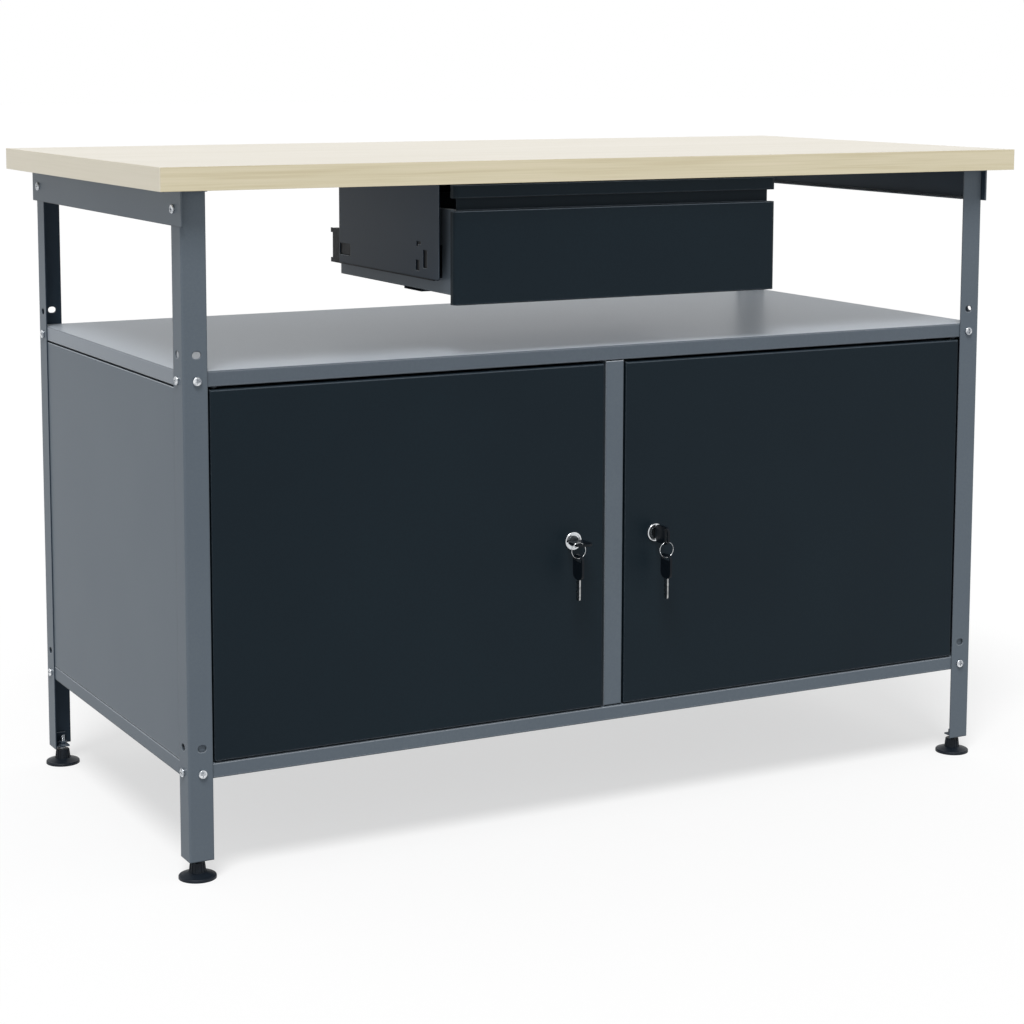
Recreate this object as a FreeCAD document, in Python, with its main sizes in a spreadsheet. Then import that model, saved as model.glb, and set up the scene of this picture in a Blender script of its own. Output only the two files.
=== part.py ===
import FreeCAD, Part
import os
import re
import Sketcher

# Workbench with a two-door storage cabinet, a shelf above it and one hanging drawer.
# Millimetres. The origin is at the middle of the footprint, on the floor.
# +X runs to the right along the bench, the doors face -Y and +Z is up.

SIZES = {
    # Worktop
    "bench_height": 832.0,
    "top_length": 1200.0,
    "top_depth": 600.0,
    "board_thick": 27.0,
    "edge_band": 1.0,
    # Legs: folded angles, set in from the edges of the worktop
    "end_overhang": 32.0,
    "face_overhang": 26.6,
    "leg_flange": 30.0,
    "leg_sheet": 1.5,
    "leg_bend": 2.4,
    "leg_bottom": 23.3,
    "bolt_edge": 17.0,
    "slot_rise": 30.0,
    "slot_length": 10.5,
    "slot_width": 8.0,
    # Rails under the worktop
    "rail_height": 41.3,
    "rail_sheet": 2.0,
    "rail_front_end": 7.6,
    "rail_rear_end": 9.6,
    "rail_flange": 30.0,
    "rail_lip": 10.0,
    "rail_bolt_rise": 19.3,
    # Cabinet pans and panels
    "steel_sheet": 0.8,
    "shelf_top": 598.4,
    "floor_top": 138.9,
    "pan_lip": 18.1,
    "pan_return": 15.0,
    "pan_bend": 1.5,
    "bolt_drop": 10.9,
    "panel_top_gap": 2.5,
    "panel_flange": 12.0,
    "panel_front_fold": 26.0,
    "post_width": 25.0,
    "post_depth": 33.0,
    "post_lip": 6.0,
    "post_end_gap": 1.3,
    "fit_gap": 0.3,
    # Doors
    "door_side_gap": 2.8,
    "door_post_gap": 3.4,
    "door_top_gap": 3.7,
    "door_bottom_gap": 1.8,
    "door_depth": 15.0,
    "door_return": 8.0,
    "door_bend": 1.4,
    "pin_inset": 6.0,
    "pin_radius": 2.5,
    "pin_head_radius": 4.6,
    "pin_head_thick": 2.0,
    "pin_tail": 6.0,
    "pin_engage": 2.8,
    "bush_radius": 3.4,
    "bush_flange_radius": 4.5,
    "bush_flange_thick": 1.5,
    "bush_depth": 3.4,
    "running_gap": 0.06,
    # Locks and keys
    "lock_offset": 59.5,
    "lock_height": 357.0,
    "bezel_radius": 11.5,
    "bezel_thick": 2.6,
    "bezel_recess": 0.8,
    "barrel_radius": 9.5,
    "barrel_length": 27.0,
    "lock_nut_flats": 22.0,
    "lock_nut_thick": 4.0,
    "plug_radius": 6.8,
    "plug_face": 2.4,
    "plug_tail": 5.0,
    "cam_screw_radius": 2.0,
    "cam_screw_length": 4.8,
    "cam_screw_head": 4.8,
    "cam_screw_head_thick": 2.4,
    "cam_thick": 2.0,
    "cam_width": 14.0,
    "cam_length": 59.0,
    "cam_slot_margin": 2.0,
    "cam_slot_below": 30.0,
    "blade_width": 8.0,
    "blade_thick": 2.0,
    "blade_length": 26.5,
    "blade_root": 8.0,
    "keyway_gap": 0.2,
    "key_shoulder": 3.0,
    "bow_length": 31.0,
    "bow_width": 23.0,
    "bow_thick": 3.0,
    "bow_corner": 8.0,
    "eye_length": 18.0,
    "eye_width": 5.0,
    "eye_corner": 2.4,
    "bow_rim": 3.0,
    "ring_radius": 9.4,
    "ring_wire": 0.7,
    "ring_shift_left": -8.0,
    "ring_drop_left": 6.4,
    # Drawer hangers and telescopic slides
    "hanger_half_width": 235.0,
    "hanger_front": 254.0,
    "hanger_rear": 40.0,
    "hanger_drop": 118.0,
    "hanger_sheet": 1.2,
    "hanger_flange": 25.0,
    "hanger_corner": 4.0,
    "brace_set_in": 2.0,
    "brace_flange": 25.0,
    "brace_clear": 1.5,
    "slide_height": 45.0,
    "slide_below": 1.5,
    "slide_sheet": 1.2,
    "slide_front": 235.0,
    "slide_rear": 64.0,
    "outer_lip": 7.8,
    "middle_offset": 2.2,
    "middle_sheet": 1.0,
    "middle_lip": 7.1,
    "middle_height": 41.8,
    "inner_lip": 7.8,
    "inner_height": 39.0,
    "member_set_back": 4.0,
    "hook_length": 6.0,
    "hook_height": 6.0,
    # Drawer
    "drawer_half_width": 221.0,
    "drawer_front_face": 284.0,
    "drawer_front_depth": 12.0,
    "drawer_rear": 66.0,
    "drawer_drop": 135.3,
    "drawer_height": 103.3,
    "drawer_lip": 6.0,
    "front_half_width": 228.5,
    "front_drop": 145.4,
    "front_height": 112.2,
    "grip_height": 15.2,
    "front_gap_top": 2.0,
    "front_bend": 6.5,
    "stiffener_width": 50.0,
    "stiffener_depth": 6.5,
    "stiffener_middle": 119.0,
    "stiffener_half": 205.0,
    # Fasteners
    "bolt_radius": 3.0,
    "bolt_length": 10.0,
    "bolt_head_radius": 5.4,
    "bolt_head_thick": 3.2,
    "bolt_head_round": 1.7,
    "cross_length": 6.4,
    "cross_width": 1.2,
    "cross_depth": 1.5,
    "nut_flats": 10.0,
    "nut_thick": 5.2,
    "thread_gap": 0.05,
    "bolt_hole_gap": 0.25,
    "screw_radius": 2.0,
    "screw_length": 16.0,
    "screw_head_radius": 4.2,
    "screw_head_thick": 2.2,
    # Levelling feet
    "foot_inset": 14.5,
    "foot_radius": 22.4,
    "foot_rim": 4.0,
    "foot_shoulder": 3.4,
    "foot_shoulder_radius": 10.6,
    "foot_neck_height": 19.0,
    "foot_cone_radius": 9.6,
    "foot_neck_radius": 8.2,
    "foot_screw_top": 38.0,
    "foot_socket": 10.0,
    "foot_screw_radius": 3.0,
    "foot_nut_flats": 10.0,
    "foot_nut_thick": 5.0,
    "bracket_size": 20.5,
    "bracket_sheet": 2.0,
    "bracket_ear": 16.0,
}

doc = FreeCAD.newDocument("workbench")
sheet = doc.addObject("Spreadsheet::Sheet", "Sizes")
for row, (size_name, size_value) in enumerate(SIZES.items(), 1):
    sheet.set("A%d" % row, size_name)
    sheet.set("B%d" % row, str(size_value))
    sheet.setAlias("B%d" % row, size_name)
doc.recompute()

# Heights and places that several pieces share, written from the sizes
UNDERSIDE = "(bench_height - board_thick)"
LEG_X = "(top_length / 2 - end_overhang)"
LEG_Y = "(top_depth / 2 - face_overhang)"
INNER_X = "(%s - leg_sheet)" % LEG_X
INNER_Y = "(%s - leg_sheet)" % LEG_Y
LEG_TOP = "(bench_height - board_thick - rail_sheet)"
RAIL_BOTTOM = "(bench_height - board_thick - rail_height)"
RAIL_BOLT_Z = "(bench_height - board_thick - rail_height + rail_bolt_rise)"
SHELF_BOLT_Z = "(shelf_top - bolt_drop)"
FLOOR_BOLT_Z = "(floor_top - bolt_drop)"
SHELF_LIP = "(shelf_top - pan_lip)"
PANEL_BOTTOM = "(floor_top + fit_gap)"
PANEL_TOP = "(shelf_top - pan_lip - panel_top_gap)"
HOLE_R = "(bolt_radius + bolt_hole_gap)"
DOOR_OUTER = "(%s - leg_flange - door_side_gap)" % LEG_X
DOOR_INNER = "(post_width / 2 + door_post_gap)"
DOOR_BOTTOM = "(floor_top + door_bottom_gap)"
DOOR_TOP = "(shelf_top - pan_lip - door_top_gap)"
PIN_X = "(%s - pin_inset)" % DOOR_OUTER
PIN_Y = "(pin_inset - %s)" % LEG_Y
DOOR_FACE = "(0 - %s)" % LEG_Y
CAM_Y = "(barrel_length + 2 * fit_gap - %s)" % LEG_Y
KEY_HOLE_Y = "(bow_rim + eye_width / 2 - key_shoulder - bow_length - %s)" % LEG_Y
RING_DROP = "(eye_length / 2 - ring_wire - fit_gap + ring_radius)"
SPARE_DROP = "(ring_radius - ring_wire - fit_gap + eye_width / 2)"
HANGER_BOTTOM = "(%s - hanger_drop)" % UNDERSIDE
SLIDE_BOTTOM = "(%s - slide_below)" % HANGER_BOTTOM
HANGER_IN = "(hanger_half_width - hanger_sheet)"
FRONT_BACK = "(drawer_front_depth - drawer_front_face)"
FRONT_TOP = "(bench_height - board_thick - front_gap_top)"
DRAWER_BOTTOM = "(%s - drawer_drop)" % UNDERSIDE
BRACE_REAR = "(hanger_rear - brace_set_in)"
FLANGE_IN = "(hanger_half_width - hanger_flange)"
FRONT_BOTTOM = "(%s - front_drop)" % UNDERSIDE
GRIP_BOTTOM = "(%s + front_height)" % FRONT_BOTTOM
GRIP_TOP = "(%s + grip_height)" % GRIP_BOTTOM
FOOT_X = "(%s - foot_inset)" % LEG_X
FOOT_Y = "(%s - foot_inset)" % LEG_Y

SIDES = (("left", -1), ("right", 1))
CORNERS = (
    ("front_left", -1, -1),
    ("front_right", 1, -1),
    ("rear_left", -1, 1),
    ("rear_right", 1, 1),
)
ALONG_X = FreeCAD.Rotation(FreeCAD.Vector(0, 1, 0), 90)
ALONG_Y = FreeCAD.Rotation(FreeCAD.Vector(1, 0, 0), -90)
ALONG_Z = FreeCAD.Rotation()
FACING = {
    "left": FreeCAD.Rotation(FreeCAD.Vector(0, 1, 0), 90),
    "right": FreeCAD.Rotation(FreeCAD.Vector(0, 1, 0), -90),
    "front": FreeCAD.Rotation(FreeCAD.Vector(1, 0, 0), -90),
    "rear": FreeCAD.Rotation(FreeCAD.Vector(1, 0, 0), 90),
    "down": FreeCAD.Rotation(),
}

parts = []


def named(expression):
    """Point every size word in an expression at its cell in the sheet."""
    def point(word):
        return "Sizes." + word.group(0) if word.group(0) in SIZES else word.group(0)

    return re.sub(r"[a-z][a-z_]+", point, str(expression))


def value(expression):
    """Work out an expression of sizes as a number."""
    return float(sheet.evalExpression(named(expression)))


def bind(item, **sizes):
    """Bind properties of an object to expressions of the sheet's sizes."""
    for prop, expression in sizes.items():
        item.setExpression(prop, named(expression))
    return item


def place(item, x, y, z, rotation=ALONG_Z):
    """Put an object at a point given by expressions."""
    item.Placement = FreeCAD.Placement(FreeCAD.Vector(), rotation)
    item.setExpression("Placement.Base.x", named(x))
    item.setExpression("Placement.Base.y", named(y))
    item.setExpression("Placement.Base.z", named(z))
    return item


def box(name, low, high):
    """A block between two corners, each a triple of expressions."""
    item = doc.addObject("Part::Box", name)
    spans = ["(%s) - (%s)" % (b, a) for a, b in zip(low, high)]
    bind(item, Length=spans[0], Width=spans[1], Height=spans[2])
    return place(item, *low)


def sided_box(name, side, inner, outer, low_y, high_y, low_z, high_z):
    """A block between two distances from the middle, on the left or the right."""
    if side < 0:
        low, high = "0 - (%s)" % outer, "0 - (%s)" % inner
    else:
        low, high = inner, outer
    return box(name, (low, low_y, low_z), (high, high_y, high_z))


def cylinder(name, radius, length, x, y, z, rotation=ALONG_Z):
    """A round bar that starts at a point and runs along its turned axis."""
    item = doc.addObject("Part::Cylinder", name)
    bind(item, Radius=radius, Height=length)
    return place(item, x, y, z, rotation)


def hexagon(name, flats, length, x, y, z, rotation=ALONG_Z):
    """A six-sided bar, measured across its flats."""
    item = doc.addObject("Part::Prism", name)
    item.Polygon = 6
    bind(item, Circumradius="(%s) / sqrt(3)" % flats, Height=length)
    return place(item, x, y, z, rotation)


def fuse(name, items):
    """Join objects into one solid."""
    item = doc.addObject("Part::MultiFuse", name)
    item.Shapes = items
    item.Refine = True
    return item


def cut(name, base, tools):
    """Take one or more objects away from another."""
    tool = tools[0] if len(tools) == 1 else fuse(name + "_tools", tools)
    item = doc.addObject("Part::Cut", name)
    item.Base = base
    item.Tool = tool
    item.Refine = True
    return item


def rounded(name, base, radius, chosen):
    """Round the edges of an object that the test picks."""
    doc.recompute()
    size = value(radius)
    item = doc.addObject("Part::Fillet", name)
    item.Base = base
    item.Edges = [(i, size, size) for i, edge in enumerate(base.Shape.Edges, 1) if chosen(edge)]
    return item


def group(name, items):
    """Keep like pieces as separate solids in one sub-part."""
    item = doc.addObject("Part::Compound", name)
    item.Links = items
    return item


def keep(item, label):
    """Name a finished sub-part and list it for writing."""
    item.Label = label
    parts.append(item)
    return item


def runs_along(edge, axis):
    """Tell whether an edge is straight and parallel to an axis."""
    if edge.Curve.TypeId != "Part::GeomLine":
        return False
    return abs(abs(edge.Curve.Direction.dot(axis)) - 1) < 1e-6


def signed(side, expression):
    """Write an expression with the sign of a side."""
    return "%d * (%s)" % (side, expression)


AXIS_X = FreeCAD.Vector(1, 0, 0)
AXIS_Y = FreeCAD.Vector(0, 1, 0)
AXIS_Z = FreeCAD.Vector(0, 0, 1)


def profile_body(name, points, length):
    """Pad a closed outline, drawn on the XY plane of its own body, up to a length."""
    body = doc.addObject("PartDesign::Body", name)
    plane = [item for item in body.Origin.OriginFeatures if item.Role == "XY_Plane"][0]
    sketch = body.newObject("Sketcher::SketchObject", name + "_outline")
    sketch.AttachmentSupport = [(plane, "")]
    sketch.MapMode = "FlatFace"
    spots = [FreeCAD.Vector(value(x), value(y), 0) for x, y in points]
    count = len(spots)
    for i in range(count):
        sketch.addGeometry(Part.LineSegment(spots[i], spots[(i + 1) % count]), False)
    for i in range(count):
        sketch.addConstraint(Sketcher.Constraint("Coincident", i, 2, (i + 1) % count, 1))
    for i, (x, y) in enumerate(points):
        across = sketch.addConstraint(Sketcher.Constraint("DistanceX", -1, 1, i, 1, spots[i].x))
        sketch.setExpression("Constraints[%d]" % across, named(x))
        along = sketch.addConstraint(Sketcher.Constraint("DistanceY", -1, 1, i, 1, spots[i].y))
        sketch.setExpression("Constraints[%d]" % along, named(y))
    pad = body.newObject("PartDesign::Pad", name + "_pad")
    pad.Profile = sketch
    bind(pad, Length=length)
    return body


def bend(body, radius, chosen):
    """Round the edges of a body's last feature that the test picks."""
    doc.recompute()
    last = body.Tip
    names = ["Edge%d" % i for i, edge in enumerate(last.Shape.Edges, 1) if chosen(edge)]
    fillet = body.newObject("PartDesign::Fillet", body.Name + "_bend%d" % len(body.Group))
    fillet.Base = (last, names)
    bind(fillet, Radius=radius)
    return fillet


def near_corner(x, y, reach):
    """Pick upright edges that lie close to a corner."""
    spot = FreeCAD.Vector(value(x), value(y), 0)

    def test(edge):
        if not runs_along(edge, AXIS_Z):
            return False
        start = edge.Vertexes[0].Point
        return (FreeCAD.Vector(start.x, start.y, 0) - spot).Length < reach

    return test


def slot_tool(name, low_y_axis, x, y, z, depth):
    """A lying oval hole through a flange that faces X or Y."""
    half = "(slot_length - slot_width) / 2"
    radius = "slot_width / 2"
    turn = ALONG_Y if low_y_axis else ALONG_X
    pieces = []
    for end, sign in (("a", -1), ("b", 1)):
        shift = "%d * (%s)" % (sign, half)
        if low_y_axis:
            spot = ("%s + %s" % (x, shift), y, z)
        else:
            spot = (x, "%s + %s" % (y, shift), z)
        pieces.append(cylinder(name + end, radius, depth, *spot, turn))
    if low_y_axis:
        low = ("%s - %s" % (x, half), y, "%s - %s" % (z, radius))
        high = ("%s + %s" % (x, half), "%s + %s" % (y, depth), "%s + %s" % (z, radius))
    else:
        low = (x, "%s - %s" % (y, half), "%s - %s" % (z, radius))
        high = ("%s + %s" % (x, depth), "%s + %s" % (y, half), "%s + %s" % (z, radius))
    pieces.append(box(name + "c", low, high))
    return pieces


def make_worktop():
    """The board and the four thin bands round its edges."""
    half_x, half_y = "top_length / 2", "top_depth / 2"
    board = box(
        "board",
        ("edge_band - " + half_x, "edge_band - " + half_y, UNDERSIDE),
        (half_x + " - edge_band", half_y + " - edge_band", "bench_height"),
    )
    pilots = []
    for i, (x, y) in enumerate(screw_places()):
        depth = "screw_length - rail_sheet + fit_gap"
        pilots.append(cylinder("pilot%d" % i, "screw_radius", depth, x, y, UNDERSIDE))
    keep(cut("worktop_board", board, pilots), "worktop_board")
    bands = []
    for name, side in (("band_front", -1), ("band_rear", 1)):
        edge = signed(side, half_y)
        inner = signed(side, half_y + " - edge_band")
        low, high = (edge, inner) if side < 0 else (inner, edge)
        bands.append(box(name, ("0 - " + half_x, low, UNDERSIDE), (half_x, high, "bench_height")))
    for name, side in SIDES:
        bands.append(
            sided_box(
                "band_" + name, side, half_x + " - edge_band", half_x,
                "edge_band - " + half_y, half_y + " - edge_band", UNDERSIDE, "bench_height",
            )
        )
    keep(group("edge_bands", bands), "worktop_edge_bands")


def screw_places():
    """Where screws go up into the worktop: along the rails, the drawer hangers and their brace."""
    rail_x = LEG_X + " - rail_flange / 2"
    hanger_x = "(hanger_half_width - hanger_flange / 2)"
    spots = []
    for _, side in SIDES:
        for share in (-0.7, 0, 0.7):
            spots.append((signed(side, rail_x), "%s * %s" % (share, LEG_Y)))
        for share in (0.1, 0.5, 0.9):
            y = "(hanger_rear + hanger_front) * %s - hanger_front" % share
            spots.append((signed(side, hanger_x), y))
        spots.append((signed(side, FLANGE_IN + " / 2"), BRACE_REAR + " - brace_flange / 2"))
    return spots


def make_leg(label, side_x, side_y):
    """One folded angle with its bolt holes and spare oval holes."""
    corner = (signed(side_x, LEG_X), signed(side_y, LEG_Y))
    inside = (signed(side_x, INNER_X), signed(side_y, INNER_Y))
    far_x = signed(side_x, LEG_X + " - leg_flange")
    far_y = signed(side_y, LEG_Y + " - leg_flange")
    outline = [
        corner,
        (far_x, corner[1]),
        (far_x, inside[1]),
        inside,
        (inside[0], far_y),
        (corner[0], far_y),
    ]
    body = profile_body(label + "_angle", outline, LEG_TOP + " - leg_bottom")
    place(body, "0", "0", "leg_bottom")
    bend(body, "leg_bend", near_corner(*corner, 0.2))
    bend(body, "leg_bend - leg_sheet", near_corner(*inside, 0.2))
    deep = "3 * leg_sheet"
    front_x = signed(side_x, LEG_X + " - bolt_edge")
    front_y = signed(side_y, LEG_Y + " - leg_sheet / 2") + " - " + deep + " / 2"
    flank_x = signed(side_x, LEG_X + " - leg_sheet / 2") + " - " + deep + " / 2"
    flank_y = signed(side_y, LEG_Y + " - bolt_edge")
    tools = []
    for level, z in (("upper", SHELF_BOLT_Z), ("lower", FLOOR_BOLT_Z)):
        name = label + level
        tools.append(cylinder(name + "f", HOLE_R, deep, front_x, front_y, z, ALONG_Y))
        tools.append(cylinder(name + "s", HOLE_R, deep, flank_x, flank_y, z, ALONG_X))
        raised = z + " + slot_rise"
        tools += slot_tool(name + "of", True, front_x, front_y, raised, deep)
        tools += slot_tool(name + "os", False, flank_x, flank_y, raised, deep)
    tools.append(cylinder(label + "rail", HOLE_R, deep, flank_x, flank_y, RAIL_BOLT_Z, ALONG_X))
    keep(cut(label + "_holed", body, tools), label)


def make_rail(label, side):
    """A channel that lies outside the legs, under one end of the worktop."""
    web_in, web_out = LEG_X, LEG_X + " + rail_sheet"
    front = "0 - " + LEG_Y + " - rail_front_end"
    rear = LEG_Y + " + rail_rear_end"
    web = sided_box(label + "_web", side, web_in, web_out, front, rear, RAIL_BOTTOM, UNDERSIDE)
    flange = sided_box(
        label + "_flange", side, LEG_X + " - rail_flange", web_out, front, rear, LEG_TOP, UNDERSIDE
    )
    clear = LEG_Y + " - leg_flange - fit_gap"
    lip = sided_box(
        label + "_lip", side, LEG_X + " - rail_lip", web_out, "0 - (" + clear + ")", clear,
        RAIL_BOTTOM, RAIL_BOTTOM + " + rail_sheet",
    )
    channel = fuse(label + "_channel", [web, flange, lip])
    tools = []
    start = signed(side, LEG_X + " + rail_sheet / 2") + " - 3 * rail_sheet / 2"
    for name, _, side_y in CORNERS[1:3]:
        y = signed(side_y, LEG_Y + " - bolt_edge")
        tools.append(
            cylinder(label + name, HOLE_R, "3 * rail_sheet", start, y, RAIL_BOLT_Z, ALONG_X)
        )
    for i, (x, y) in enumerate(screw_places()):
        if value(x) * side > value("hanger_half_width"):
            spot = (x, y, LEG_TOP + " - rail_sheet")
            tools.append(cylinder("%s_screw%d" % (label, i), "screw_radius", "3 * rail_sheet", *spot))
    keep(cut(label + "_drilled", channel, tools), label)


def make_pan(label, top):
    """A shallow tray, open below, whose lips are bolted inside the legs."""
    bottom = "(%s - pan_lip)" % top
    block = box(
        label + "_block", ("0 - " + INNER_X, "0 - " + INNER_Y, bottom), (INNER_X, INNER_Y, top)
    )
    level = value(top)

    def shows(edge):
        if runs_along(edge, AXIS_Z):
            return True
        return all(abs(point.Point.z - level) < 1e-6 for point in edge.Vertexes)

    shell = rounded(label + "_shell", block, "pan_bend", shows)
    in_x, in_y = INNER_X + " - steel_sheet", INNER_Y + " - steel_sheet"
    hollow = box(
        label + "_hollow",
        ("0 - (%s)" % in_x, "0 - (%s)" % in_y, bottom + " + steel_sheet"),
        (in_x, in_y, top + " - steel_sheet"),
    )
    open_x, open_y = INNER_X + " - steel_sheet", INNER_Y + " - pan_return"
    mouth = box(
        label + "_mouth",
        ("0 - (%s)" % open_x, "0 - (%s)" % open_y, bottom + " - steel_sheet"),
        (open_x, open_y, bottom + " + 2 * steel_sheet"),
    )
    tools = [hollow, mouth]
    z = "(%s - bolt_drop)" % top
    deep = "5 * steel_sheet"
    for name, side_x, side_y in CORNERS:
        x = signed(side_x, LEG_X + " - bolt_edge")
        y = signed(side_y, INNER_Y) + " - 5 * steel_sheet / 2"
        tools.append(cylinder(label + name + "f", HOLE_R, deep, x, y, z, ALONG_Y))
        x = signed(side_x, INNER_X) + " - 5 * steel_sheet / 2"
        y = signed(side_y, LEG_Y + " - bolt_edge")
        tools.append(cylinder(label + name + "s", HOLE_R, deep, x, y, z, ALONG_X))
    seat = bottom if label == "cabinet_shelf" else top + " - steel_sheet"
    for name, side in SIDES:
        spot = (signed(side, PIN_X), PIN_Y, seat + " - steel_sheet")
        tools.append(cylinder(label + name, "bush_radius", "3 * steel_sheet", *spot))
    keep(cut(label + "_pan", shell, tools), label)


def make_side_panel(label, side):
    """A folded sheet that stands on the cabinet floor, behind the leg flanges."""
    skin_in = INNER_X + " - steel_sheet"
    flange_in = INNER_X + " - panel_flange"
    half = INNER_Y + " - steel_sheet - fit_gap"
    front = "leg_bend - leg_sheet - " + INNER_Y
    pieces = [
        sided_box(label + "_skin", side, skin_in, INNER_X, front, half, PANEL_BOTTOM, PANEL_TOP),
        sided_box(
            label + "_foot", side, flange_in, INNER_X, front, half,
            PANEL_BOTTOM, PANEL_BOTTOM + " + steel_sheet",
        ),
        sided_box(
            label + "_head", side, flange_in, INNER_X, front, half,
            PANEL_TOP + " - steel_sheet", PANEL_TOP,
        ),
        sided_box(
            label + "_front_fold", side, INNER_X + " - panel_front_fold", INNER_X,
            front, front + " + steel_sheet", PANEL_BOTTOM, PANEL_TOP,
        ),
        sided_box(
            label + "_rear_fold", side, flange_in, INNER_X, half + " - steel_sheet", half,
            PANEL_BOTTOM, PANEL_TOP,
        ),
    ]
    deep = "3 * leg_sheet"
    x = signed(side, LEG_X + " - leg_sheet / 2") + " - " + deep + " / 2"
    tools = []
    for end, side_y in (("front", -1), ("rear", 1)):
        spot = (x, signed(side_y, LEG_Y + " - bolt_edge"), FLOOR_BOLT_Z + " + slot_rise")
        tools += slot_tool("%s_%s" % (label, end), False, *spot, deep)
    keep(cut(label + "_slotted", fuse(label + "_sheet", pieces), tools), label)


def make_rear_panel():
    """The back sheet, with its foot and head folded inwards."""
    half = INNER_X + " - steel_sheet - fit_gap"
    fold_half = INNER_X + " - panel_flange - fit_gap"
    face_in, face_out = INNER_Y + " - steel_sheet", INNER_Y
    fold_in = INNER_Y + " - panel_flange"
    pieces = [
        box(
            "rear_skin", ("0 - (%s)" % half, face_in, PANEL_BOTTOM), (half, face_out, PANEL_TOP)
        ),
        box(
            "rear_foot", ("0 - (%s)" % fold_half, fold_in, PANEL_BOTTOM),
            (fold_half, face_out, PANEL_BOTTOM + " + steel_sheet"),
        ),
        box(
            "rear_head", ("0 - (%s)" % fold_half, fold_in, PANEL_TOP + " - steel_sheet"),
            (fold_half, face_out, PANEL_TOP),
        ),
    ]
    keep(fuse("rear_sheet", pieces), "rear_panel")


def make_post():
    """The channel between the doors, slotted for the lock cams."""
    half = "post_width / 2"
    wall = "post_width / 2 - steel_sheet"
    lip = "post_width / 2 - post_lip"
    front = "0 - " + INNER_Y
    back = front + " + post_depth"
    outline = [
        ("0 - " + half, front),
        (half, front),
        (half, back),
        (lip, back),
        (lip, back + " - steel_sheet"),
        (wall, back + " - steel_sheet"),
        (wall, front + " + steel_sheet"),
        ("0 - (%s)" % wall, front + " + steel_sheet"),
        ("0 - (%s)" % wall, back + " - steel_sheet"),
        ("0 - (%s)" % lip, back + " - steel_sheet"),
        ("0 - (%s)" % lip, back),
        ("0 - " + half, back),
    ]
    body = profile_body("post_channel", outline, SHELF_LIP + " - floor_top - 2 * fit_gap")
    place(body, "0", "0", PANEL_BOTTOM)
    slot = box(
        "cam_slot",
        (
            "0 - post_width",
            CAM_Y + " - cam_slot_margin",
            "lock_height - cam_slot_below",
        ),
        (
            "post_width",
            CAM_Y + " + cam_thick + cam_slot_margin",
            "lock_height + cam_width / 2 + cam_slot_margin",
        ),
    )
    tools = [slot]
    shorter = "(post_end_gap - fit_gap)"
    for name, low, high in (
        ("low", PANEL_BOTTOM, PANEL_BOTTOM + " + " + shorter),
        ("high", SHELF_LIP + " - fit_gap - " + shorter, SHELF_LIP + " - fit_gap"),
    ):
        tools.append(
            box(
                "post_relief_" + name,
                ("0 - post_width", front + " - 1", low),
                ("post_width", front + " + steel_sheet", high),
            )
        )
    keep(cut("post_slotted", body, tools), "centre_post")


def fastener(name, x, y, z, facing):
    """A cross-headed bolt whose head lies on a face and whose shank goes into it."""
    head = cylinder(
        name + "_head", "bolt_head_radius", "bolt_head_thick", "0", "0", "0 - bolt_head_thick"
    )
    outer = value("bolt_head_thick")

    def crown(edge):
        return edge.Closed and abs(edge.Vertexes[0].Point.z + outer) < 1e-6

    dome = rounded(name + "_dome", head, "bolt_head_round", crown)
    shank = cylinder(name + "_shank", "bolt_radius", "bolt_length", "0", "0", "0")
    whole = fuse(name + "_whole", [dome, shank])
    arms = []
    for arm, long_x, long_y in (("a", "length", "width"), ("b", "width", "length")):
        low = ("0 - cross_%s / 2" % long_x, "0 - cross_%s / 2" % long_y, "0 - 2 * bolt_head_thick")
        high = ("cross_%s / 2" % long_x, "cross_%s / 2" % long_y, "cross_depth - bolt_head_thick")
        arms.append(box(name + "_arm" + arm, low, high))
    item = cut(name, whole, arms)
    return place(item, x, y, z, FACING[facing])


def nut(name, x, y, z, facing):
    """A hexagon nut that starts on the far side of what a bolt holds."""
    block = hexagon(name + "_block", "nut_flats", "nut_thick", "0", "0", "0")
    bore = cylinder(
        name + "_bore", "bolt_radius + thread_gap", "3 * nut_thick", "0", "0", "0 - nut_thick"
    )
    item = cut(name, block, [bore])
    return place(item, x, y, z, FACING[facing])


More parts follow.
